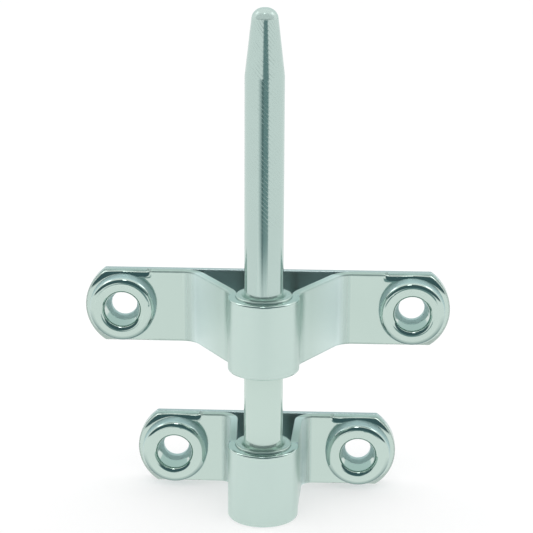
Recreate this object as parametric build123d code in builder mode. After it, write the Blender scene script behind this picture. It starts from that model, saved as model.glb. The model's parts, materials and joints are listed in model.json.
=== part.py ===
"""Transom pintle: a long rudder pin held in two bent-strap brackets.

Each bracket is a sleeve round the pin, a strap bent round the sleeve and a flat back plate, held
together by two hollow rivets (ferrules) that the mounting screws pass through. Sizes are in millimetres.
The origin is on the pin's axis, level with the top of the upper sleeve, where a gudgeon comes to rest.
+Z is up the pin and +Y is towards the transom.
"""

import os
from math import asin, cos, degrees, radians, sin, tan

from build123d import *

# Pin
pin_diameter = 9.5
pin_height = 69.5
straight_height = 53.5
nose_diameter = 5.8
nose_radius = 2.8
shank_diameter = 9.6
shank_lead = 0.7
foot_chamfer = 0.5

# Sleeves
sleeve_wall = 2.05
sleeve_stand = 0.45
sleeve_mouth_chamfer = 0.7
sleeve_edge_radius = 0.3

# Brackets
bracket_height = 18.7
bracket_pitch = 38.4
pin_to_transom = 23.4
plate_thickness = 1.6
strap_thickness = 1.9
upper_hole_spacing = 73.2
lower_hole_spacing = 47.3
lug_beyond_hole = 9.65
lug_end_bow = 4.95
lug_corner_radius = 0.8
strap_edge_radius = 0.5
strap_back_edge_radius = 0.15
plate_edge_radius = 0.35

# Strap bends: wing angles to the back plate, and bend radii on the front face
upper_wing_angle = 58.5
upper_tuck = 3.05
upper_lug_bend_radius = 5.0
lower_wing_angle = 87.7
lower_tuck = 0.25
lower_lug_bend_radius = 3.0
nip_radius = 5.5

# Ferrules
screw_hole_diameter = 6.6
screw_land_length = 1.6
ferrule_shank_diameter = 9.2
ferrule_head_height = 4.05
ferrule_base_diameter = 16.8
ferrule_crown_diameter = 16.4
ferrule_shoulder_radius = 1.45
ferrule_mouth_diameter = 9.0
ferrule_lip_radius = 1.4
ferrule_throat_diameter = 8.0
throat_step_length = 1.0
clinch_diameter = 10.6
clinch_angle = 82.0

# Worked out from the sizes above
sleeve_radius = shank_diameter / 2 + sleeve_wall
plate_front = pin_to_transom - plate_thickness
strap_front = plate_front - strap_thickness
ferrule_face = strap_front - ferrule_head_height
clinch_depth = (clinch_diameter - ferrule_shank_diameter) / 2 / tan(radians(clinch_angle / 2))
upper_top = -sleeve_stand
lower_top = upper_top - bracket_pitch
foot = lower_top - bracket_height


def lug_outline(hole_spacing, top, y):
    """Front view of a bracket strip at a depth y: straight long edges and bowed ends."""
    half_length = hole_spacing / 2 + lug_beyond_hole
    corner = half_length - lug_end_bow
    bottom = top - bracket_height
    with BuildSketch(Plane.XZ.offset(-y)) as outline:
        with BuildLine():
            Line((0, top), (corner, top))
            ThreePointArc((corner, top), (half_length, (top + bottom) / 2), (corner, bottom))
            Line((corner, bottom), (0, bottom))
            mirror(about=Plane.YZ)
        make_face()
        fillet(outline.vertices().group_by(Axis.X)[0], lug_corner_radius)
        fillet(outline.vertices().group_by(Axis.X)[-1], lug_corner_radius)
    return outline.sketch


def strap_path(wing_angle, tuck, lug_bend_radius, hole_spacing):
    """Plan of a bent strap's back face, which lies on the sleeve and on the back plate.

    Half a collar round the sleeve ends in a reverse bend, the nip, which tucks the wing in behind the
    sleeve. The wing runs straight back at its angle to the plate, and a second bend turns it into the lug.
    """
    half_length = hole_spacing / 2 + lug_beyond_hole
    nip = nip_radius + strap_thickness
    lug_bend = lug_bend_radius + strap_thickness
    collar_end = wing_angle - degrees(asin((sleeve_radius - tuck + nip) / (sleeve_radius + nip)))
    with BuildLine() as path:
        collar = CenterArc((0, 0), sleeve_radius, -90, 90 + collar_end)
        bend = JernArc(collar @ 1, collar % 1, nip, wing_angle - collar_end - 90)
        rise = plate_front - lug_bend * (1 - cos(radians(wing_angle))) - (bend @ 1).Y
        wing = PolarLine(bend @ 1, rise / sin(radians(wing_angle)), wing_angle)
        turn = JernArc(wing @ 1, wing % 1, lug_bend, -wing_angle)
        Line(turn @ 1, (half_length, plate_front))
        mirror(about=Plane.YZ)
    return path.wire()


def strap_rim(strap, path, depth):
    """Edges round a strap's sides and ends that lie at a depth in the sheet from its back face."""

    def at_depth(edge):
        points = [Vector((edge @ u).X, (edge @ u).Y, 0) for u in (0, 0.5, 1)]
        return all(abs(path.distance_to(point) - depth) < 1e-3 for point in points)

    return strap.edges().filter_by(Axis.Z, reverse=True).filter_by(at_depth)


def transom_side(top, y):
    """Plane at a depth y and at a bracket's mid-height, facing the transom."""
    return Plane((0, y, top - bracket_height / 2), x_dir=(1, 0, 0), z_dir=(0, 1, 0))


def make_strap(wing_angle, tuck, lug_bend_radius, hole_spacing, top):
    """A strap: bent strip, ends cut to the lug outline, front edges rounded, holes for the ferrules."""
    path = strap_path(wing_angle, tuck, lug_bend_radius, hole_spacing)
    outline = lug_outline(hole_spacing, top, 0)
    with BuildSketch(Plane.XY.offset(top)) as section:
        with BuildLine():
            add(path)
            offset(amount=strap_thickness, side=Side.RIGHT)
        make_face()
    with BuildPart() as strap:
        extrude(section.sketch, amount=-bracket_height)
        extrude(outline, amount=pin_to_transom, both=True, mode=Mode.INTERSECT)
        fillet(strap_rim(strap, path, strap_thickness), strap_edge_radius)
        fillet(strap_rim(strap, path, 0), strap_back_edge_radius)
        with Locations(transom_side(top, plate_front)):
            with GridLocations(hole_spacing, 0, 2, 1):
                Hole(ferrule_shank_diameter / 2)
    return strap


def make_plate(hole_spacing, top):
    """A back plate: flat strip with rounded edges, countersunk behind for the ferrule tails."""
    outline = lug_outline(hole_spacing, top, plate_front)
    with BuildPart() as plate:
        extrude(outline, amount=-plate_thickness)
        fillet(plate.faces().filter_by(Axis.Y).edges(), plate_edge_radius)
        with Locations(transom_side(top, pin_to_transom)):
            with GridLocations(hole_spacing, 0, 2, 1):
                CounterSinkHole(
                    ferrule_shank_diameter / 2,
                    clinch_diameter / 2,
                    counter_sink_angle=clinch_angle,
                )
    return plate


def make_sleeve(top):
    """A sleeve: thick tube that stands proud of its bracket, with chamfered mouths and rounded rims."""
    with BuildPart() as sleeve:
        with BuildSketch(Plane.XY.offset(top + sleeve_stand)):
            Circle(sleeve_radius)
            Circle(shank_diameter / 2, mode=Mode.SUBTRACT)
        extrude(amount=-bracket_height - sleeve_stand)
        rims = sleeve.edges().filter_by(GeomType.CIRCLE).group_by(SortBy.RADIUS)
        fillet(rims[-1], sleeve_edge_radius)
        chamfer(rims[0], sleeve_mouth_chamfer)
    return sleeve


def write(piece, name):
    """Label a finished piece and write its STEP file."""
    piece.part.label = name
    export_step(piece.part, f"parts/{name}.step")


# Pin: turned rod with a press-fit shank, a straight bearing length and a tapered, rounded nose
with BuildPart() as pintle_pin:
    with BuildSketch(Plane.XZ) as half_profile:
        with BuildLine():
            Polyline(
                (0, foot),
                (shank_diameter / 2 - foot_chamfer, foot),
                (shank_diameter / 2, foot + foot_chamfer),
                (shank_diameter / 2, -shank_lead),
                (pin_diameter / 2, 0),
                (pin_diameter / 2, straight_height),
                (nose_diameter / 2, pin_height),
                (0, pin_height),
                close=True,
            )
        make_face()
        nose_edge = half_profile.vertices().group_by(Axis.Y)[-1].sort_by(Axis.X)[-1]
        fillet(nose_edge, min(nose_radius, nose_diameter / 2))
    revolve(axis=Axis.Z)

# Ferrule: hollow rivet with a raised round-shouldered head, a rolled mouth and a tail clinched behind
with BuildPart() as ferrule:
    with BuildSketch() as half_section:
        with BuildLine():
            Polyline(
                (screw_hole_diameter / 2, pin_to_transom),
                (clinch_diameter / 2, pin_to_transom),
                (ferrule_shank_diameter / 2, pin_to_transom - clinch_depth),
                (ferrule_shank_diameter / 2, strap_front),
                (ferrule_base_diameter / 2, strap_front),
                (ferrule_crown_diameter / 2, ferrule_face),
                (ferrule_mouth_diameter / 2, ferrule_face),
                (ferrule_throat_diameter / 2, pin_to_transom - screw_land_length - throat_step_length),
                (screw_hole_diameter / 2, pin_to_transom - screw_land_length),
                close=True,
            )
        make_face()
        face_corners = half_section.vertices().group_by(Axis.Y)[0]
        fillet(face_corners.sort_by(Axis.X)[-1], ferrule_shoulder_radius)
        face_corners = half_section.vertices().group_by(Axis.Y)[0]
        fillet(face_corners.sort_by(Axis.X)[0], ferrule_lip_radius)
    revolve(axis=Axis.Y)

with BuildPart() as ferrules:
    for hole_spacing, top in ((upper_hole_spacing, upper_top), (lower_hole_spacing, lower_top)):
        with Locations((0, 0, top - bracket_height / 2)):
            with GridLocations(hole_spacing, 0, 2, 1):
                add(ferrule.part)

os.makedirs("parts", exist_ok=True)
write(pintle_pin, "pintle_pin")
write(make_sleeve(upper_top), "upper_sleeve")
write(make_sleeve(lower_top), "lower_sleeve")
upper_bends = (upper_wing_angle, upper_tuck, upper_lug_bend_radius)
lower_bends = (lower_wing_angle, lower_tuck, lower_lug_bend_radius)
write(make_strap(*upper_bends, upper_hole_spacing, upper_top), "upper_strap")
write(make_strap(*lower_bends, lower_hole_spacing, lower_top), "lower_strap")
write(make_plate(upper_hole_spacing, upper_top), "upper_back_plate")
write(make_plate(lower_hole_spacing, lower_top), "lower_back_plate")
write(ferrules, "ferrules")
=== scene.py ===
"""Looks of a transom pintle: polished stainless steel in a white photographic tent.

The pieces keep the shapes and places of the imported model. This file gives each of them the finish that its
making leaves, and sets up the tent, the lamps and the camera. Lengths are in metres unless MM is beside
them. Heights are above the top of the upper sleeve, and depths are behind the pin's axis.
"""

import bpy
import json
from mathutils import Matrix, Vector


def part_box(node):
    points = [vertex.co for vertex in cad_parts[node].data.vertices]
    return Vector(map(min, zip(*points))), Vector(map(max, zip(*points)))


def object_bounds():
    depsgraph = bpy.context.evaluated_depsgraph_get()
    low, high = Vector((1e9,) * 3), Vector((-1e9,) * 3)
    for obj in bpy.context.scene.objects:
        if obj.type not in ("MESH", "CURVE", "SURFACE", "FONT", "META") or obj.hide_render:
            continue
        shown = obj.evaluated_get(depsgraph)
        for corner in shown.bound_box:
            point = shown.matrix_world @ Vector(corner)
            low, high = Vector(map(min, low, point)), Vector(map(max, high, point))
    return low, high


bl_info = {
    "name": "Transom Pintle Looks",
    "version": (1, 0, 0),
    "blender": (4, 5, 0),
    "location": "3D View > Sidebar > Pintle",
    "description": "Finishes a transom pintle in polished stainless steel and lights it in a white tent",
    "category": "Material",
}

import json
from math import cos, pi, radians, sin

import bmesh
import bpy
from bpy.props import FloatProperty, FloatVectorProperty, PointerProperty
from mathutils import Matrix, Vector

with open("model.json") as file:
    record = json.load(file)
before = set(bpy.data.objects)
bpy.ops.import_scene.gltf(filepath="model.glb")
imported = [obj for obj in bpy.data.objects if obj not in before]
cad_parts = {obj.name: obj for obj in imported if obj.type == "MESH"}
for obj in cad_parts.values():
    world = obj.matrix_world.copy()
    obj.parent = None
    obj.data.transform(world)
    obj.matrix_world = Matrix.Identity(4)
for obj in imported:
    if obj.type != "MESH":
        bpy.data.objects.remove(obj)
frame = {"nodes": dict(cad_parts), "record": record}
CAD_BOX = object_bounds()
MM = 0.001


def linear(hex_colour):
    """Linear values of an sRGB hex colour such as #C3D6CE, with full opacity."""
    values = [int(hex_colour[i:i + 2], 16) / 255 for i in (1, 3, 5)]
    values = [v / 12.92 if v <= 0.04045 else ((v + 0.055) / 1.055) ** 2.4 for v in values]
    return (*values, 1.0)


def add_node(tree, kind, inputs=None, **settings):
    """Add a shader node, apply its settings, and set or link its inputs, named or numbered.

    A Mix node's two ends are inputs 2 and 3 for values, 4 and 5 for vectors, and 6 and 7 for colours.
    What it gives is output 0, 1 or 2.
    """
    made = tree.nodes.new(kind)
    for name, value in settings.items():
        setattr(made, name, value)
    for name, value in (inputs or {}).items():
        if isinstance(value, bpy.types.NodeSocket):
            tree.links.new(value, made.inputs[name])
        else:
            made.inputs[name].default_value = value
    return made


def colour_property(name, description, hex_colour):
    """A colour that a user can change, from its sRGB hex value."""
    return FloatVectorProperty(
        name=name, description=description, default=linear(hex_colour),
        subtype="COLOR", size=4, min=0, max=1,
    )


def share_property(name, description, share):
    """A roughness or another share of one that a user can change."""
    return FloatProperty(
        name=name, description=description, default=share, subtype="FACTOR", min=0, max=1,
    )


class PintleFinish(bpy.types.PropertyGroup):
    """Colours and polish of the stainless steel. Light that a surface doesn't mirror, it scatters."""

    steel: colour_property("Steel", "Colour of clean polished stainless steel", "#C5D8D0")
    bar: colour_property("Bar", "Colour of the ground bar, a shade darker", "#BDD1CB")
    wing: colour_property("Wing", "Colour of the strip between its bends, a little bluer", "#C2D6CF")
    # The colour below is painted light: a paler satin towards the lugs that offsets the shade in the concave
    # bends
    bend: colour_property("Bend", "Colour of the strip's satin towards the lugs' bends, paler", "#D8EBE8")
    # The colour below is painted shade: the fine dark line beside each lug stands in for the shade of the
    # bending
    painted_bend_shade: colour_property("Fold", "Colour of the fine line that bending leaves beside each lug", "#B9CDC6")
    side: colour_property("Side", "Colour of the ferrules' sides, which stay as turned", "#AECBCA")
    # The colour below is painted shade, which darkens the lower edge of each ferrule's head where it meets
    # the lug
    painted_rim_shade: colour_property("Rim", "Colour of the grey lower rim of each ferrule's head", "#6C8885")
    bore: colour_property("Bore", "Colour of the ferrules' bores, which keep their drawn skin", "#BCD6D4")
    plate: colour_property("Plate", "Colour of the rolled plates, a plainer grey", "#C4D4D4")
    # The colour below is partly the rolled skin and partly painted shade, which darkens the gaps behind the
    # wings
    inner: colour_property("Inner", "Colour of the rolled skin on the straps' inner faces", "#A6BBBC")
    pin_roughness: share_property("Pin roughness", "Roughness of the ground and polished bar", 0.12)
    mark_roughness: share_property("Mark roughness", "Roughness of the bar's grinding marks", 0.28)
    shank_metal: share_property("Shank metal", "How much the bar mirrors below its bearing length", 0.75)
    nose_metal: share_property("Nose metal", "How much the bar's rounded nose mirrors", 0.2)
    lug_roughness: share_property("Lug roughness", "Roughness of the strip where it is polished", 0.10)
    wing_roughness: share_property("Wing roughness", "Roughness of the strip between its bends", 0.4)
    wing_metal: share_property("Wing metal", "How much the strip mirrors between its bends", 0.2)
    edge_roughness: share_property("Edge roughness", "Roughness of the strip's tumbled long edges", 0.55)
    plate_roughness: share_property("Plate roughness", "Roughness of the cold-rolled back plates", 0.14)
    plate_metal: share_property("Plate metal", "How much the back plates mirror", 0.88)
    tube_roughness: share_property("Tube roughness", "Roughness of the turned sleeves", 0.26)
    ferrule_roughness: share_property("Ferrule roughness", "Roughness of the tumbled ferrules", 0.07)
    side_roughness: share_property("Side roughness", "Roughness of the ferrules' sides and bores", 0.5)
    side_metal: share_property("Side metal", "How much the ferrules' sides and bores mirror", 0.5)


class PintleTent(bpy.types.PropertyGroup):
    """The white tent round the pintle: its sheet, its dark hood, its grey card and its lamps."""

    sheet: colour_property("Sheet", "Colour of the sheet that the pintle stands on", "#FFFFFF")
    hood: colour_property("Hood", "Colour of the dark room above the tent's open front", "#486267")
    opening: colour_property("Opening", "Colour of the room past the camera and of the card", "#7C9698")
    lip: colour_property("Lip", "Colour of the grey card's darker left lip", "#657B7D")
    back: colour_property("Back", "Colour of the tent's back wall", "#CBDDDC")
    sheet_reach: FloatProperty(
        name="Sheet reach", description="How far the sheet reaches from the pin",
        default=1.6, min=0, unit="LENGTH",
    )
    sheet_glow: share_property(
        "Sheet glow", "Share of the sheet's white that nothing shades, as if it were lit from below", 0.5
    )
    card_start: FloatProperty(
        name="Card start", description="How far in front of the pin the grey card on the sheet begins",
        default=174 * MM, min=0, unit="LENGTH",
    )
    card_fade: FloatProperty(
        name="Card fade", description="Over what length the card's grey deepens to its full depth",
        default=74 * MM, min=0, unit="LENGTH",
    )
    fill_level: FloatProperty(
        name="Fill level", description="Even light from the whole tent on surfaces that scatter it",
        default=1.0, min=0,
    )
    key_power: FloatProperty(
        name="Key power", description="Power of the lamp overhead", default=0.13, min=0, unit="POWER",
    )
    side_power: FloatProperty(
        name="Side power", description="Power of each lamp at the sides", default=0.25, min=0, unit="POWER",
    )


class PintleCamera(bpy.types.PropertyGroup):
    """Where the camera stands, as in the photograph."""

    aim: FloatVectorProperty(
        name="Aim", description="Point in the middle of the picture",
        default=(0.61 * MM, 0, 7.02 * MM), subtype="TRANSLATION", unit="LENGTH",
    )
    distance: FloatProperty(
        name="Distance", description="From the aim to the camera", default=447.9 * MM, min=0, unit="LENGTH",
    )
    azimuth: FloatProperty(
        name="Azimuth", description="Turn of the camera to the right of the front",
        default=radians(2.41), subtype="ANGLE",
    )
    elevation: FloatProperty(
        name="Elevation", description="Height of the camera above the horizon",
        default=radians(16.5), subtype="ANGLE",
    )
    roll: FloatProperty(
        name="Roll", description="Lean of the camera", default=radians(0.26), subtype="ANGLE",
    )
    lens: FloatProperty(
        name="Lens", description="Focal length in millimetres on a 36 mm sensor",
        default=125.64, min=1, unit="CAMERA",
    )


class PintleLooks(bpy.types.PropertyGroup):
    """Everything that this file lets a user change."""

    finish: PointerProperty(type=PintleFinish)
    tent: PointerProperty(type=PintleTent)
    camera: PointerProperty(type=PintleCamera)


# Faint clouds in every steel: their size, and their shade beside the plain colour
CLOUD_SIZE = 12 * MM
CLOUD_SHADE = 0.95

# Values between which most of a noise pattern lies
NOISE_SPAN = (0.3, 0.7)


def new_steel(name, colour):
    """A stainless steel with faint clouds, to which a finish adds its polish and its marks.

    Gives the material, its tree, its shader, its clouded colour and the place on the piece.
    """
    material = bpy.data.materials.new(name)
    material.use_nodes = True
    tree = material.node_tree
    tree.nodes.clear()
    place = add_node(tree, "ShaderNodeTexCoord").outputs["Object"]
    clouds = {"Vector": place, "Scale": 1 / CLOUD_SIZE, "Detail": 2.0}
    clouds = add_node(tree, "ShaderNodeTexNoise", clouds).outputs[0]
    darker = (*(CLOUD_SHADE * value for value in colour[:3]), 1)
    colours = {"Factor": clouds, 6: darker, 7: colour}
    tint = add_node(tree, "ShaderNodeMix", colours, data_type="RGBA").outputs[2]
    shader = add_node(tree, "ShaderNodeBsdfPrincipled", {"Base Color": tint, "Metallic": 1.0})
    add_node(tree, "ShaderNodeOutputMaterial", {"Surface": shader.outputs["BSDF"]})
    return material, tree, shader, tint, place


def streaks(tree, place, sizes, detail):
    """A pattern of marks with these sizes in millimetres along X, Y and Z."""
    stretched = {0: place, 1: tuple(1 / (size * MM) for size in sizes)}
    stretched = add_node(tree, "ShaderNodeVectorMath", stretched, operation="MULTIPLY").outputs[0]
    marks = {"Vector": stretched, "Scale": 1.0, "Detail": detail}
    return add_node(tree, "ShaderNodeTexNoise", marks).outputs[0]


def raise_surface(tree, shader, *heights):
    """Bump a surface by heights in metres, added together."""
    total = heights[0]
    for height in heights[1:]:
        total = add_node(tree, "ShaderNodeMath", {0: total, 1: height}, operation="ADD").outputs[0]
    bump = add_node(tree, "ShaderNodeBump", {"Strength": 1.0, "Distance": 1.0, "Height": total})
    tree.links.new(bump.outputs["Normal"], shader.inputs["Normal"])


def from_ferrule(tree, place):
    """How far a place is outwards along the lug and upwards from the axis of the nearest ferrule."""
    mounts = {mount["name"]: mount for mount in frame["record"]["mounts"]}
    lower, upper = (
        (mounts[name]["dims"]["spacing_x_mm"] * MM / 2, 0, mounts[name]["pos_m"][2])
        for name in ("lower_screws", "upper_screws")
    )
    x, _, z = add_node(tree, "ShaderNodeSeparateXYZ", {0: place}).outputs
    between = (lower[2] + upper[2]) / 2
    is_upper = add_node(tree, "ShaderNodeMath", {0: z, 1: between}, operation="GREATER_THAN").outputs[0]
    axis = {"Factor": is_upper, 4: lower, 5: upper}
    axis = add_node(tree, "ShaderNodeMix", axis, data_type="VECTOR").outputs[1]
    axis = add_node(tree, "ShaderNodeSeparateXYZ", {0: axis}).outputs
    aside = add_node(tree, "ShaderNodeMath", {0: x}, operation="ABSOLUTE").outputs[0]
    outwards = add_node(tree, "ShaderNodeMath", {0: aside, 1: axis["X"]}, operation="SUBTRACT").outputs[0]
    upwards = add_node(tree, "ShaderNodeMath", {0: z, 1: axis["Z"]}, operation="SUBTRACT").outputs[0]
    return outwards, upwards


def dress(material, *node_names):
    """Give CAD nodes a finish in all their material slots."""
    for name in node_names:
        slots = frame["nodes"][name].data.materials
        slots.clear()
        slots.append(material)


# Heights on the pin between which the bar's darker colour sets in, hidden in the upper sleeve, then its
# polish and then its grinding marks
BAR_COLOUR_HEIGHTS = (-14 * MM, -6 * MM)
BAR_POLISH_HEIGHTS = (-2 * MM, 12 * MM)
BAR_MARK_HEIGHTS = (6 * MM, 22 * MM)

# The satin nose: how far it reaches down from the tip, and over what length it sets in
NOSE_LENGTH = 2.7 * MM
NOSE_BLEND = 0.6 * MM

# The grinding marks: pitch, starts and height of their spiral, the size of their patches in millimetres,
# and the strength at which they are fully dull
SPIRAL_PITCH = 1.1 * MM
SPIRAL_STARTS = 27
SPIRAL_HEIGHT = 0.001 * MM
SPIRAL_PATCH = (2, 2, 3)
SPIRAL_FULL = 0.5

# The bar's streaks: their size in millimetres, and the shares of its roughness between which they vary it
BAR_STREAK = (0.5, 0.5, 40)
BAR_DULLING = (0.8, 1.3)


def bar_mirror(tree, finish, height):
    """How much the bar mirrors: less below its bearing length, and little on its nose."""
    polished = {
        "Value": height, "From Min": BAR_POLISH_HEIGHTS[0], "From Max": BAR_POLISH_HEIGHTS[1],
        "To Min": finish.shank_metal,
    }
    polished = add_node(tree, "ShaderNodeMapRange", polished).outputs[0]
    nose_start = CAD_BOX[1].z - NOSE_LENGTH
    nose = {"Value": height, "From Min": nose_start, "From Max": nose_start + NOSE_BLEND}
    nose = add_node(tree, "ShaderNodeMapRange", nose).outputs[0]
    metals = {"Factor": nose, 2: polished, 3: finish.nose_metal}
    return add_node(tree, "ShaderNodeMix", metals).outputs[0]


def grinding_marks(tree, place):
    """A spiral of marks that comes and goes in patches along the bar's bearing length."""
    x, y, z = add_node(tree, "ShaderNodeSeparateXYZ", {0: place}).outputs
    turn = add_node(tree, "ShaderNodeMath", {0: y, 1: x}, operation="ARCTAN2").outputs[0]
    turn = add_node(tree, "ShaderNodeMath", {0: turn, 1: SPIRAL_STARTS}, operation="MULTIPLY").outputs[0]
    spiral = {0: z, 1: 2 * pi / SPIRAL_PITCH, 2: turn}
    spiral = add_node(tree, "ShaderNodeMath", spiral, operation="MULTIPLY_ADD").outputs[0]
    spiral = add_node(tree, "ShaderNodeMath", {0: spiral}, operation="SINE").outputs[0]
    patch = streaks(tree, place, SPIRAL_PATCH, 2.0)
    bearing = {"Value": z, "From Min": BAR_MARK_HEIGHTS[0], "From Max": BAR_MARK_HEIGHTS[1]}
    bearing = add_node(tree, "ShaderNodeMapRange", bearing, interpolation_type="SMOOTHSTEP").outputs[0]
    patch = add_node(tree, "ShaderNodeMath", {0: patch, 1: bearing}, operation="MULTIPLY").outputs[0]
    return add_node(tree, "ShaderNodeMath", {0: spiral, 1: patch}, operation="MULTIPLY").outputs[0]


def ground_bar(finish):
    """Stainless bar, centreless ground and then polished along its bearing length.

    The wheel leaves a faint spiral, which breaks up the edges of whatever the bar mirrors, and fine streaks
    along its length that are duller than the rest. Both are drawn coarser than real ones, to show. Below
    the bearing length and on the nose the bar keeps a satin that mirrors less.
    """
    material, tree, shader, tint, place = new_steel("stainless_ground_bar", finish.bar)
    height = add_node(tree, "ShaderNodeSeparateXYZ", {0: place}).outputs["Z"]
    above = {"Value": height, "From Min": BAR_COLOUR_HEIGHTS[0], "From Max": BAR_COLOUR_HEIGHTS[1]}
    above = add_node(tree, "ShaderNodeMapRange", above).outputs[0]
    colours = {"Factor": above, 6: finish.steel, 7: tint}
    tint = add_node(tree, "ShaderNodeMix", colours, data_type="RGBA").outputs[2]
    tree.links.new(tint, shader.inputs["Base Color"])
    tree.links.new(bar_mirror(tree, finish, height), shader.inputs["Metallic"])
    marks = grinding_marks(tree, place)
    relief = add_node(tree, "ShaderNodeMath", {0: marks, 1: SPIRAL_HEIGHT}, operation="MULTIPLY").outputs[0]
    raise_surface(tree, shader, relief)
    dull = {
        "Value": streaks(tree, place, BAR_STREAK, 3.0),
        "From Min": NOISE_SPAN[0], "From Max": NOISE_SPAN[1],
        "To Min": BAR_DULLING[0] * finish.pin_roughness, "To Max": BAR_DULLING[1] * finish.pin_roughness,
    }
    dull = add_node(tree, "ShaderNodeMapRange", dull).outputs[0]
    ground = {"Value": marks, "From Max": SPIRAL_FULL, "To Max": finish.mark_roughness}
    ground = add_node(tree, "ShaderNodeMapRange", ground).outputs[0]
    dull = add_node(tree, "ShaderNodeMath", {0: dull, 1: ground}, operation="MAXIMUM").outputs[0]
    tree.links.new(dull, shader.inputs["Roughness"])
    return material


# The ferrules' heads stand 4.05 mm out from the lugs, so LUG_FRONT is a hair in front of the lugs' faces
HEAD_STAND = 4 * MM
LUG_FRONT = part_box("ferrules")[0].y + HEAD_STAND

# Depths beside LUG_FRONT between which the satin pales towards the bends with painted light that offsets the
# shade in the bends, darkens to a fine line of painted shade beside the lug and takes the lug's colour, and
# between which the strip becomes smooth and becomes a mirror
PAINTED_LIGHT_DEPTHS = (-12 * MM, -1.4 * MM)
BEND_SHADE_DEPTHS = (-1.4 * MM, -0.3 * MM)
LUG_COLOUR_DEPTHS = (-0.03 * MM, 0.02 * MM)
SMOOTH_DEPTHS = (-0.9 * MM, -0.25 * MM)
MIRROR_DEPTHS = (-0.25 * MM, -0.03 * MM)

# The bright nips beside the collar: their distance from the middle, the distances from there at which they
# end and are full, and the depths at which they do so
NIP_ASIDE = 8.7 * MM
NIP_WIDTHS = (1.6 * MM, 0.6 * MM)
NIP_DEPTHS = (11 * MM, 7 * MM)

# Least backward lean of a face that counts as an inner one, distances from the strip's middle line between
# which its rounded long edges begin, and the depth at which they are no longer polished with the collar
INNER_LEAN = 0.01
EDGE_DISTANCES = (8.75 * MM, 8.95 * MM)
COLLAR_RIM_DEPTH = 3 * MM

# Lines and waves that the wheel leaves: the lines' size in millimetres, the shares of the roughness between
# which they vary it and their height, and the waves' size and height
STRIP_LINE = (9, 9, 0.4)
STRIP_DULLING = (0.92, 1.1)
STRIP_LINE_HEIGHT = 0.0002 * MM
WAVE_SIZE = 6 * MM
WAVE_HEIGHT = 0.02 * MM

# Distances outwards from a ferrule's axis between which its lug begins, with polished long edges and a
# face that falls away round the ferrule. Then the distance from the axis at which that fall starts, which
# is less above the lug's inner side, how far outwards that side is fully reached, and the fall's radius.
LUG_BEGINS = (-7.6 * MM, -5.6 * MM)
FALL_START = 8.0 * MM
FALL_INNER_START = 7.2 * MM
FALL_INNER_REACH = -4 * MM
FALL_RADIUS = 1.8 * MM


def strip_colour(tree, finish, tint, depth, inside):
    """Satin wings paled towards the bends by painted light, a fine line of painted shade, polished lugs,
    and rolled inner faces, darkened by painted shade in the gaps.
    """
    colour = finish.wing
    # The wings pale towards the bends by painted light, then darken to a line of painted shade beside each
    # lug
    for (start, end), following in (
        (PAINTED_LIGHT_DEPTHS, finish.bend),
        (BEND_SHADE_DEPTHS, finish.painted_bend_shade),
        (LUG_COLOUR_DEPTHS, tint),
    ):
        share = {"Value": depth, "From Min": LUG_FRONT + start, "From Max": LUG_FRONT + end}
        share = add_node(tree, "ShaderNodeMapRange", share).outputs[0]
        colours = {"Factor": share, 6: colour, 7: following}
        colour = add_node(tree, "ShaderNodeMix", colours, data_type="RGBA").outputs[2]
    # Inner faces take a darker colour: rolled skin, and painted shade in the gaps behind the wings
    colours = {"Factor": inside, 6: colour, 7: finish.inner}
    return add_node(tree, "ShaderNodeMix", colours, data_type="RGBA").outputs[2]


def strip_mirror(tree, finish, x, depth, inside, on_edge):
    """How much the strip mirrors: fully on lugs, nips, edges and inner faces, and little on the wings."""
    on_lug = {
        "Value": depth, "From Min": LUG_FRONT + MIRROR_DEPTHS[0], "From Max": LUG_FRONT + MIRROR_DEPTHS[1],
    }
    on_lug = add_node(tree, "ShaderNodeMapRange", on_lug, interpolation_type="SMOOTHSTEP").outputs[0]
    aside = add_node(tree, "ShaderNodeMath", {0: x}, operation="ABSOLUTE").outputs[0]
    off_nip = add_node(tree, "ShaderNodeMath", {0: aside, 1: NIP_ASIDE}, operation="SUBTRACT").outputs[0]
    off_nip = add_node(tree, "ShaderNodeMath", {0: off_nip}, operation="ABSOLUTE").outputs[0]
    in_nip = {"Value": off_nip, "From Min": NIP_WIDTHS[0], "From Max": NIP_WIDTHS[1]}
    in_nip = add_node(tree, "ShaderNodeMapRange", in_nip, interpolation_type="SMOOTHSTEP").outputs[0]
    forward = {"Value": depth, "From Min": NIP_DEPTHS[0], "From Max": NIP_DEPTHS[1]}
    forward = add_node(tree, "ShaderNodeMapRange", forward).outputs[0]
    mirrors = add_node(tree, "ShaderNodeMath", {0: in_nip, 1: forward}, operation="MULTIPLY").outputs[0]
    for other in (on_lug, inside, on_edge):
        mirrors = add_node(tree, "ShaderNodeMath", {0: mirrors, 1: other}, operation="MAXIMUM").outputs[0]
    metal = {"Value": mirrors, "To Min": finish.wing_metal}
    return add_node(tree, "ShaderNodeMapRange", metal).outputs[0]


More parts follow.
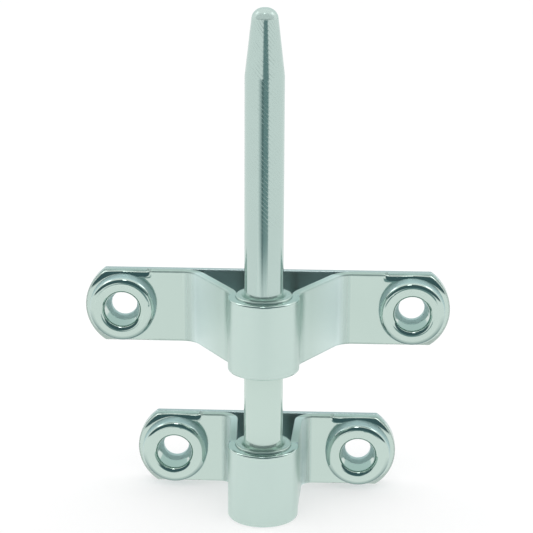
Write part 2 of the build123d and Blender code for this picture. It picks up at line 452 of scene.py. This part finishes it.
def strip_dulling(tree, finish, depth, lines, on_edge, by_ferrule):
    """Roughness of the strip: smooth lugs, duller wings, and tumbled long edges between the bends."""
    dull = {
        "Value": depth, "From Min": LUG_FRONT + SMOOTH_DEPTHS[0], "From Max": LUG_FRONT + SMOOTH_DEPTHS[1],
        "To Min": finish.wing_roughness, "To Max": finish.lug_roughness,
    }
    dull = add_node(tree, "ShaderNodeMapRange", dull).outputs[0]
    uneven = {
        "Value": lines, "From Min": NOISE_SPAN[0], "From Max": NOISE_SPAN[1],
        "To Min": STRIP_DULLING[0], "To Max": STRIP_DULLING[1],
    }
    uneven = add_node(tree, "ShaderNodeMapRange", uneven).outputs[0]
    dull = add_node(tree, "ShaderNodeMath", {0: dull, 1: uneven}, operation="MULTIPLY").outputs[0]
    edges = {
        "Value": depth, "From Max": COLLAR_RIM_DEPTH,
        "To Min": finish.lug_roughness, "To Max": finish.edge_roughness,
    }
    edges = add_node(tree, "ShaderNodeMapRange", edges).outputs[0]
    edges = {"Factor": by_ferrule, 2: edges, 3: finish.lug_roughness}
    edges = add_node(tree, "ShaderNodeMix", edges).outputs[0]
    return add_node(tree, "ShaderNodeMix", {"Factor": on_edge, 2: dull, 3: edges}).outputs[0]


def lug_fall(tree, outwards, upwards, by_ferrule):
    """How far a lug's face falls away round its ferrule, as a height in metres."""
    beyond = add_node(tree, "ShaderNodeMath", {0: outwards, 1: 0.0}, operation="MAXIMUM").outputs[0]
    away = add_node(tree, "ShaderNodeCombineXYZ", {0: beyond, 2: upwards}).outputs[0]
    away = add_node(tree, "ShaderNodeVectorMath", {0: away}, operation="LENGTH").outputs["Value"]
    above = add_node(tree, "ShaderNodeMath", {0: upwards, 1: 0.0}, operation="GREATER_THAN").outputs[0]
    inner = {"Value": outwards, "From Min": 0.0, "From Max": FALL_INNER_REACH}
    inner = add_node(tree, "ShaderNodeMapRange", inner).outputs[0]
    inner = add_node(tree, "ShaderNodeMath", {0: inner, 1: above}, operation="MULTIPLY").outputs[0]
    start = {"Factor": inner, 2: FALL_START, 3: FALL_INNER_START}
    start = add_node(tree, "ShaderNodeMix", start).outputs[0]
    past = add_node(tree, "ShaderNodeMath", {0: away, 1: start}, operation="SUBTRACT").outputs[0]
    past = add_node(tree, "ShaderNodeMath", {0: past, 1: 0.0}, operation="MAXIMUM").outputs[0]
    fall = add_node(tree, "ShaderNodeMath", {0: past, 1: past}, operation="MULTIPLY").outputs[0]
    fall = {0: fall, 1: -0.5 / FALL_RADIUS}
    fall = add_node(tree, "ShaderNodeMath", fall, operation="MULTIPLY").outputs[0]
    return add_node(tree, "ShaderNodeMath", {0: fall, 1: by_ferrule}, operation="MULTIPLY").outputs[0]


def polished_strip(finish):
    """Stainless strip, polished along its length on a soft wheel and then bent.

    The lugs, the nips beside the collar and the collar's rims are bright. The outer faces between the bends
    scatter as fine satin, with painted light that pales them towards the lugs to offset the shade in the
    bends, and a fine line of painted shade beside each lug. The inner faces keep their rolled skin, darkened
    by painted shade in the gaps behind the wings. The wheel leaves a slight waviness, lugs that fall away
    round the ferrules towards their ends, and fine lines along the strip, which are drawn coarser than real
    ones, to show.
    """
    material, tree, shader, tint, place = new_steel("stainless_polished_strip", finish.steel)
    x, depth, _ = add_node(tree, "ShaderNodeSeparateXYZ", {0: place}).outputs
    outwards, upwards = from_ferrule(tree, place)
    facing = add_node(tree, "ShaderNodeTexCoord").outputs["Normal"]
    facing = add_node(tree, "ShaderNodeSeparateXYZ", {0: facing}).outputs["Y"]
    inside = {0: facing, 1: INNER_LEAN}
    inside = add_node(tree, "ShaderNodeMath", inside, operation="GREATER_THAN").outputs[0]
    off_middle = add_node(tree, "ShaderNodeMath", {0: upwards}, operation="ABSOLUTE").outputs[0]
    on_edge = {"Value": off_middle, "From Min": EDGE_DISTANCES[0], "From Max": EDGE_DISTANCES[1]}
    on_edge = add_node(tree, "ShaderNodeMapRange", on_edge).outputs[0]
    by_ferrule = {"Value": outwards, "From Min": LUG_BEGINS[0], "From Max": LUG_BEGINS[1]}
    by_ferrule = add_node(
        tree, "ShaderNodeMapRange", by_ferrule, interpolation_type="SMOOTHSTEP"
    ).outputs[0]
    lines = streaks(tree, place, STRIP_LINE, 3.0)
    colour = strip_colour(tree, finish, tint, depth, inside)
    metal = strip_mirror(tree, finish, x, depth, inside, on_edge)
    dull = strip_dulling(tree, finish, depth, lines, on_edge, by_ferrule)
    tree.links.new(colour, shader.inputs["Base Color"])
    tree.links.new(metal, shader.inputs["Metallic"])
    tree.links.new(dull, shader.inputs["Roughness"])
    lines = {0: lines, 1: STRIP_LINE_HEIGHT}
    lines = add_node(tree, "ShaderNodeMath", lines, operation="MULTIPLY").outputs[0]
    waves = {"Vector": place, "Scale": 1 / WAVE_SIZE, "Detail": 1.0}
    waves = add_node(tree, "ShaderNodeTexNoise", waves).outputs[0]
    waves = add_node(tree, "ShaderNodeMath", {0: waves, 1: WAVE_HEIGHT}, operation="MULTIPLY").outputs[0]
    raise_surface(tree, shader, lines, waves, lug_fall(tree, outwards, upwards, by_ferrule))
    return material


# Lines that the rolls leave: their size in millimetres, their height, and the shares of the roughness
# between which they vary it
ROLL_LINE = (15, 1, 0.5)
ROLL_LINE_HEIGHT = 0.0006 * MM
ROLL_DULLING = (0.8, 1.25)


def rolled_strip(finish):
    """Cold-rolled stainless strip, sheared and tumbled.

    The rolls leave a soft grey sheen with faint lines along the strip. They are drawn coarser than real
    ones, to show.
    """
    material, tree, shader, _, place = new_steel("stainless_rolled_strip", finish.plate)
    lines = streaks(tree, place, ROLL_LINE, 4.0)
    dull = {
        "Value": lines, "From Min": NOISE_SPAN[0], "From Max": NOISE_SPAN[1],
        "To Min": ROLL_DULLING[0] * finish.plate_roughness,
        "To Max": ROLL_DULLING[1] * finish.plate_roughness,
    }
    dull = add_node(tree, "ShaderNodeMapRange", dull).outputs[0]
    tree.links.new(dull, shader.inputs["Roughness"])
    shader.inputs["Metallic"].default_value = finish.plate_metal
    lines = {0: lines, 1: ROLL_LINE_HEIGHT}
    lines = add_node(tree, "ShaderNodeMath", lines, operation="MULTIPLY").outputs[0]
    raise_surface(tree, shader, lines)
    return material


# Rings that the tool leaves on the sleeves: their pitch and height, and the shares of the roughness between
# which they vary it
TUBE_RING_PITCH = 0.3 * MM
TUBE_RING_HEIGHT = 0.001 * MM
TUBE_DULLING = (0.8, 1.3)


def turned_tube(finish):
    """Stainless tube, faced and chamfered in a lathe.

    The tool leaves rings round the bore. They are drawn three times as far apart as real ones, to show.
    """
    material, tree, shader, _, place = new_steel("stainless_turned_tube", finish.steel)
    level = {0: place, 1: (1, 1, 0)}
    level = add_node(tree, "ShaderNodeVectorMath", level, operation="MULTIPLY").outputs[0]
    radius = add_node(tree, "ShaderNodeVectorMath", {0: level}, operation="LENGTH").outputs["Value"]
    height = add_node(tree, "ShaderNodeSeparateXYZ", {0: place}).outputs["Z"]
    feed = add_node(tree, "ShaderNodeMath", {0: radius, 1: height}, operation="ADD").outputs[0]
    feed = {0: feed, 1: 2 * pi / TUBE_RING_PITCH}
    feed = add_node(tree, "ShaderNodeMath", feed, operation="MULTIPLY").outputs[0]
    rings = add_node(tree, "ShaderNodeMath", {0: feed}, operation="SINE").outputs[0]
    dull = {
        "Value": rings, "From Min": -1.0, "From Max": 1.0,
        "To Min": TUBE_DULLING[0] * finish.tube_roughness,
        "To Max": TUBE_DULLING[1] * finish.tube_roughness,
    }
    dull = add_node(tree, "ShaderNodeMapRange", dull).outputs[0]
    tree.links.new(dull, shader.inputs["Roughness"])
    rings = {0: rings, 1: TUBE_RING_HEIGHT}
    rings = add_node(tree, "ShaderNodeMath", rings, operation="MULTIPLY").outputs[0]
    raise_surface(tree, shader, rings)
    return material


# Distances from a ferrule's axis between which its side as turned begins, the drawn skin of its bore begins
# and the painted shade on the head's lower edge deepens, and how far below the axis that painted shade is
# full
SIDE_RADII = (8.0 * MM, 8.25 * MM)
DRAWN_RADII = (4.05 * MM, 3.95 * MM)
PAINTED_RIM_SHADE_RADII = (6.9 * MM, 7.9 * MM)
PAINTED_RIM_SHADE_FULL = -5 * MM

# What tumbling leaves: pitch and height of the turning rings, size and height of the dimples, and the
# shares of the roughness between which the dimples vary it
FERRULE_RING_PITCH = 0.45 * MM
FERRULE_RING_HEIGHT = 0.0006 * MM
DIMPLE_SIZE = 1.6 * MM
DIMPLE_HEIGHT = 0.012 * MM
DIMPLE_DULLING = (0.7, 1.5)


def tumbled_ferrule(finish):
    """Stainless ferrule, turned, clinched and tumbled bright.

    Tumbling leaves a mirror with soft dimples and duller patches over what is left of the turning rings,
    which are drawn coarser than real ones, to show. The sides stay as turned, the land and the step of the
    bore keep their drawn skin, and the head's lower edge is painted darker, as painted shade where the head
    meets the lug.
    """
    material, tree, shader, tint, place = new_steel("stainless_tumbled_ferrule", finish.steel)
    outwards, upwards = from_ferrule(tree, place)
    radius = add_node(tree, "ShaderNodeCombineXYZ", {0: outwards, 2: upwards}).outputs[0]
    radius = add_node(tree, "ShaderNodeVectorMath", {0: radius}, operation="LENGTH").outputs["Value"]
    spans = [
        {"Value": radius, "From Min": start, "From Max": end}
        for start, end in (SIDE_RADII, DRAWN_RADII, PAINTED_RIM_SHADE_RADII)
    ]
    turned, drawn, painted_rim_shade = (add_node(tree, "ShaderNodeMapRange", span).outputs[0] for span in spans)
    # Below the axis the head's lower edge takes painted shade, where it meets the lug
    below = add_node(tree, "ShaderNodeMapRange", {"Value": upwards, "From Max": PAINTED_RIM_SHADE_FULL}).outputs[0]
    painted_rim_shade = add_node(tree, "ShaderNodeMath", {0: painted_rim_shade, 1: below}, operation="MULTIPLY").outputs[0]
    for share, colour in ((painted_rim_shade, finish.painted_rim_shade), (turned, finish.side), (drawn, finish.bore)):
        colours = {"Factor": share, 6: tint, 7: colour}
        tint = add_node(tree, "ShaderNodeMix", colours, data_type="RGBA").outputs[2]
    tree.links.new(tint, shader.inputs["Base Color"])
    metal = 1.0
    for share in (turned, drawn):
        metals = {"Factor": share, 2: metal, 3: finish.side_metal}
        metal = add_node(tree, "ShaderNodeMix", metals).outputs[0]
    tree.links.new(metal, shader.inputs["Metallic"])
    dimples = {"Vector": place, "Scale": 1 / DIMPLE_SIZE, "Detail": 2.0}
    dimples = add_node(tree, "ShaderNodeTexNoise", dimples).outputs[0]
    dull = {
        "Value": dimples, "From Min": NOISE_SPAN[0], "From Max": NOISE_SPAN[1],
        "To Min": DIMPLE_DULLING[0] * finish.ferrule_roughness,
        "To Max": DIMPLE_DULLING[1] * finish.ferrule_roughness,
    }
    dull = add_node(tree, "ShaderNodeMapRange", dull).outputs[0]
    side = {0: turned, 1: finish.side_roughness}
    side = add_node(tree, "ShaderNodeMath", side, operation="MULTIPLY").outputs[0]
    dull = add_node(tree, "ShaderNodeMath", {0: dull, 1: side}, operation="MAXIMUM").outputs[0]
    dull = {"Factor": drawn, 2: dull, 3: finish.side_roughness}
    dull = add_node(tree, "ShaderNodeMix", dull).outputs[0]
    tree.links.new(dull, shader.inputs["Roughness"])
    rings = {0: radius, 1: 2 * pi / FERRULE_RING_PITCH}
    rings = add_node(tree, "ShaderNodeMath", rings, operation="MULTIPLY").outputs[0]
    rings = add_node(tree, "ShaderNodeMath", {0: rings}, operation="SINE").outputs[0]
    rings = {0: rings, 1: FERRULE_RING_HEIGHT}
    rings = add_node(tree, "ShaderNodeMath", rings, operation="MULTIPLY").outputs[0]
    dimples = {0: dimples, 1: DIMPLE_HEIGHT}
    dimples = add_node(tree, "ShaderNodeMath", dimples, operation="MULTIPLY").outputs[0]
    raise_surface(tree, shader, rings, dimples)
    return material


class PINTLE_OT_pin(bpy.types.Operator):
    """Finish the pin as ground and polished bar"""

    bl_idname = "pintle.pin"
    bl_label = "Finish Pin"

    def execute(self, context):
        dress(ground_bar(context.scene.pintle.finish), "pintle_pin")
        return {"FINISHED"}


class PINTLE_OT_sleeves(bpy.types.Operator):
    """Finish the two sleeves as turned tube"""

    bl_idname = "pintle.sleeves"
    bl_label = "Finish Sleeves"

    def execute(self, context):
        dress(turned_tube(context.scene.pintle.finish), "upper_sleeve", "lower_sleeve")
        return {"FINISHED"}


class PINTLE_OT_straps(bpy.types.Operator):
    """Finish the two bent straps as polished strip"""

    bl_idname = "pintle.straps"
    bl_label = "Finish Straps"

    def execute(self, context):
        dress(polished_strip(context.scene.pintle.finish), "upper_strap", "lower_strap")
        return {"FINISHED"}


class PINTLE_OT_plates(bpy.types.Operator):
    """Finish the two back plates as rolled strip"""

    bl_idname = "pintle.plates"
    bl_label = "Finish Back Plates"

    def execute(self, context):
        dress(rolled_strip(context.scene.pintle.finish), "upper_back_plate", "lower_back_plate")
        return {"FINISHED"}


class PINTLE_OT_ferrules(bpy.types.Operator):
    """Finish the four ferrules as turned and tumbled pieces"""

    bl_idname = "pintle.ferrules"
    bl_label = "Finish Ferrules"

    def execute(self, context):
        dress(tumbled_ferrule(context.scene.pintle.finish), "ferrules")
        return {"FINISHED"}


def towards(azimuth, elevation):
    """Direction from the pin, turned to the right of the front and raised above the horizon."""
    level = cos(elevation)
    return Vector((sin(azimuth) * level, -cos(azimuth) * level, sin(elevation)))


# Parts of the tent that differ from its white walls, as seen from the pintle, in degrees: the middle of
# each to the right of the front and above the horizon, its half width, its lower and upper edges, and the
# softness of its edges
TENT_PARTS = {
    "back": (180, 0, 50, -2, 60, 8),
    "opening": (9, 0, 17, -60, 58, 3),
    "hood": (0, -20, 95, 10, 87, 3),
}


def tent_world(tent):
    """The tent that the metal mirrors: white walls, a greyer back, and an opening and a dark hood in front.

    Surfaces that scatter get an even light instead, and the camera sees plain white.
    """
    world = bpy.data.worlds.new("white_tent")
    world.use_nodes = True
    tree = world.node_tree
    tree.nodes.clear()
    direction = add_node(tree, "ShaderNodeTexCoord").outputs["Generated"]
    height = add_node(tree, "ShaderNodeSeparateXYZ", {0: direction}).outputs["Z"]
    seen = tent.sheet
    for part, (aside, above, half_width, low, high, softness) in TENT_PARTS.items():
        facing = {0: direction, 1: towards(radians(aside), radians(above))}
        facing = add_node(tree, "ShaderNodeVectorMath", facing, operation="DOT_PRODUCT").outputs["Value"]
        inside = 1.0
        for value, ratio, outer, inner in (
            (facing, cos, half_width + softness, half_width - softness),
            (height, sin, low - softness, low + softness),
            (height, sin, high + softness, high - softness),
        ):
            step = {"Value": value, "From Min": ratio(radians(outer)), "From Max": ratio(radians(inner))}
            step = add_node(tree, "ShaderNodeMapRange", step, interpolation_type="SMOOTHSTEP").outputs[0]
            inside = add_node(tree, "ShaderNodeMath", {0: inside, 1: step}, operation="MULTIPLY").outputs[0]
        colours = {"Factor": inside, 6: seen, 7: getattr(tent, part)}
        seen = add_node(tree, "ShaderNodeMix", colours, data_type="RGBA").outputs[2]
    path = add_node(tree, "ShaderNodeLightPath").outputs
    fill = (tent.fill_level, tent.fill_level, tent.fill_level, 1)
    colours = {"Factor": path["Is Glossy Ray"], 6: fill, 7: seen}
    lit = add_node(tree, "ShaderNodeMix", colours, data_type="RGBA").outputs[2]
    white = (1, 1, 1, 1)
    colours = {"Factor": path["Is Camera Ray"], 6: lit, 7: white}
    shown = add_node(tree, "ShaderNodeMix", colours, data_type="RGBA").outputs[2]
    light = add_node(tree, "ShaderNodeBackground", {"Color": shown})
    add_node(tree, "ShaderNodeOutputWorld", {"Surface": light.outputs[0]})
    return world


def stage_piece(name, corners, faces, colour):
    """A matt piece of the stage, from its corners and the corners of its faces."""
    mesh = bpy.data.meshes.new(name)
    shape = bmesh.new()
    corners = [shape.verts.new(corner) for corner in corners]
    for face in faces:
        shape.faces.new([corners[i] for i in face])
    shape.to_mesh(mesh)
    shape.free()
    piece = bpy.data.objects.new(name, mesh)
    material = bpy.data.materials.new(f"matt_{name}")
    material.use_nodes = True
    shader = material.node_tree.nodes["Principled BSDF"]
    shader.inputs["Base Color"].default_value = colour
    shader.inputs["Roughness"].default_value = 1.0
    shader.inputs["Specular IOR Level"].default_value = 0.0
    mesh.materials.append(material)
    bpy.context.scene.collection.objects.link(piece)
    return piece


def paper_sheet(tent):
    """The sheet under the pintle. The metal mirrors it evenly white, as if it were lit from below."""
    reach = tent.sheet_reach
    foot = CAD_BOX[0].z
    corners = [(x * reach, y * reach, foot) for x, y in ((-1, -1), (1, -1), (1, 1), (-1, 1))]
    sheet = stage_piece("floor", corners, ((0, 1, 2, 3),), tent.sheet)
    tree = sheet.data.materials[0].node_tree
    path = add_node(tree, "ShaderNodeLightPath").outputs
    glow_share = {0: path["Is Camera Ray"], 1: tent.sheet_glow, 2: path["Is Glossy Ray"]}
    glow_share = add_node(tree, "ShaderNodeMath", glow_share, operation="MULTIPLY_ADD").outputs[0]
    glow = add_node(tree, "ShaderNodeEmission", {"Color": tent.sheet, "Strength": 1.0}).outputs[0]
    paper = tree.nodes["Principled BSDF"].outputs[0]
    either = add_node(tree, "ShaderNodeMixShader", {0: glow_share, 1: paper, 2: glow}).outputs[0]
    tree.links.new(either, tree.nodes["Material Output"].inputs["Surface"])


# The grey card that lies on the sheet in front of the pintle and gives the pin its dark stripe, in degrees
# to the right of the front: the sides between which it is fully grey, how far it fades out beyond the left
# one, and the middle of its darker lip with the distances from there at which the lip ends and is full.
# Then how high it lies above the sheet, and the number of its faces.
CARD_SIDES = (-10, 25)
CARD_LEFT_FADE = 26
CARD_LIP = -8
CARD_LIP_WIDTHS = (7, 3)
CARD_LIFT = 1 * MM
CARD_FACES = 8


def grey_card(tent):
    """A grey card that begins softly towards the pintle and at its left side. Only the metal sees it."""
    foot = CAD_BOX[0].z + CARD_LIFT
    first = CARD_SIDES[0] - CARD_LEFT_FADE
    corners = []
    for step in range(CARD_FACES + 1):
        turn = radians(first + (CARD_SIDES[1] - first) * step / CARD_FACES)
        corners += [(r * sin(turn), -r * cos(turn), foot) for r in (tent.card_start, tent.sheet_reach)]
    faces = [(2 * i, 2 * i + 2, 2 * i + 3, 2 * i + 1) for i in range(CARD_FACES)]
    card = stage_piece("grey_card", corners, faces, tent.opening)
    card.visible_camera = False
    card.visible_diffuse = False
    card.visible_shadow = False
    tree = card.data.materials[0].node_tree
    place = add_node(tree, "ShaderNodeTexCoord").outputs["Object"]
    x, y, _ = add_node(tree, "ShaderNodeSeparateXYZ", {0: place}).outputs
    ahead = add_node(tree, "ShaderNodeMath", {0: y, 1: -1.0}, operation="MULTIPLY").outputs[0]
    aside = add_node(tree, "ShaderNodeMath", {0: x, 1: ahead}, operation="ARCTAN2").outputs[0]
    deep = {"Value": ahead, "From Min": tent.card_start, "From Max": tent.card_start + tent.card_fade}
    deep = add_node(tree, "ShaderNodeMapRange", deep).outputs[0]
    off_lip = {0: aside, 1: radians(CARD_LIP)}
    off_lip = add_node(tree, "ShaderNodeMath", off_lip, operation="SUBTRACT").outputs[0]
    off_lip = add_node(tree, "ShaderNodeMath", {0: off_lip}, operation="ABSOLUTE").outputs[0]
    shade = tent.sheet
    for value, start, end, colour in (
        (aside, first, CARD_SIDES[0], tent.opening),
        (off_lip, *CARD_LIP_WIDTHS, tent.lip),
    ):
        share = {"Value": value, "From Min": radians(start), "From Max": radians(end)}
        share = add_node(tree, "ShaderNodeMapRange", share).outputs[0]
        share = add_node(tree, "ShaderNodeMath", {0: share, 1: deep}, operation="MULTIPLY").outputs[0]
        colours = {"Factor": share, 6: shade, 7: colour}
        shade = add_node(tree, "ShaderNodeMix", colours, data_type="RGBA").outputs[2]
    tree.links.new(shade, tree.nodes["Principled BSDF"].inputs["Base Color"])


# For each lamp, the tent's setting with its power, its direction from the pin in degrees to the right of
# the front and above the horizon, its distance from the pin and its width
LAMPS = {
    "key_lamp": ("key_power", -8, 74, 0.6, 0.10),
    "left_lamp": ("side_power", -110, 45, 0.7, 0.2),
    "right_lamp": ("side_power", 110, 45, 0.7, 0.2),
}


def add_lamp(name, power, azimuth, elevation, distance, width):
    """A square soft lamp that looks at the pintle."""
    lamp = bpy.data.lights.new(name, "AREA")
    lamp.size = width
    lamp.energy = power
    holder = bpy.data.objects.new(name, lamp)
    direction = towards(radians(azimuth), radians(elevation))
    holder.location = direction * distance
    holder.rotation_euler = direction.to_track_quat("Z", "Y").to_euler()
    bpy.context.scene.collection.objects.link(holder)


SENSOR_WIDTH_MM = 36


def add_camera(settings):
    """The camera, in the photograph's place."""
    back = towards(settings.azimuth, settings.elevation)
    right = Vector((cos(settings.azimuth), sin(settings.azimuth), 0))
    turned = Matrix((right, back.cross(right), back)).transposed()
    lens = bpy.data.cameras.new("camera")
    lens.lens = settings.lens
    lens.sensor_width = SENSOR_WIDTH_MM
    camera = bpy.data.objects.new("camera", lens)
    spot = Matrix.Translation(Vector(settings.aim) + back * settings.distance)
    camera.matrix_world = spot @ turned.to_4x4() @ Matrix.Rotation(settings.roll, 4, "Z")
    bpy.context.scene.collection.objects.link(camera)
    bpy.context.scene.camera = camera


# How often light may be mirrored on its way, between the lugs and inside the ferrules' mouths
MIRROR_BOUNCES = 12


class PINTLE_OT_stage(bpy.types.Operator):
    """Set up the tent, its lamps and the camera"""

    bl_idname = "pintle.stage"
    bl_label = "Set Up Stage"

    def execute(self, context):
        looks = context.scene.pintle
        context.scene.world = tent_world(looks.tent)
        context.scene.view_settings.view_transform = "Standard"
        context.scene.cycles.glossy_bounces = MIRROR_BOUNCES
        paper_sheet(looks.tent)
        grey_card(looks.tent)
        for name, (power, *place) in LAMPS.items():
            add_lamp(name, getattr(looks.tent, power), *place)
        add_camera(looks.camera)
        return {"FINISHED"}


OPERATORS = (
    PINTLE_OT_pin,
    PINTLE_OT_sleeves,
    PINTLE_OT_straps,
    PINTLE_OT_plates,
    PINTLE_OT_ferrules,
    PINTLE_OT_stage,
)


class PINTLE_PT_looks(bpy.types.Panel):
    """Lists the finishes, the stage and what can be changed in them"""

    bl_idname = "PINTLE_PT_looks"
    bl_label = "Transom Pintle"
    bl_space_type = "VIEW_3D"
    bl_region_type = "UI"
    bl_category = "Pintle"

    def draw(self, context):
        looks = context.scene.pintle
        for group in (looks.finish, looks.tent, looks.camera):
            box = self.layout.box()
            for name in group.__annotations__:
                box.prop(group, name)
        for operator in OPERATORS:
            self.layout.operator(operator.bl_idname)


CLASSES = (PintleFinish, PintleTent, PintleCamera, PintleLooks, *OPERATORS, PINTLE_PT_looks)


def register():
    for item in CLASSES:
        bpy.utils.register_class(item)
    bpy.types.Scene.pintle = PointerProperty(type=PintleLooks)


def unregister():
    del bpy.types.Scene.pintle
    for item in reversed(CLASSES):
        bpy.utils.unregister_class(item)


def main():
    """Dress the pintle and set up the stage."""
    register()
    bpy.ops.pintle.pin()
    bpy.ops.pintle.sleeves()
    bpy.ops.pintle.straps()
    bpy.ops.pintle.plates()
    bpy.ops.pintle.ferrules()
    bpy.ops.pintle.stage()


if __name__ == "__main__":
    main()
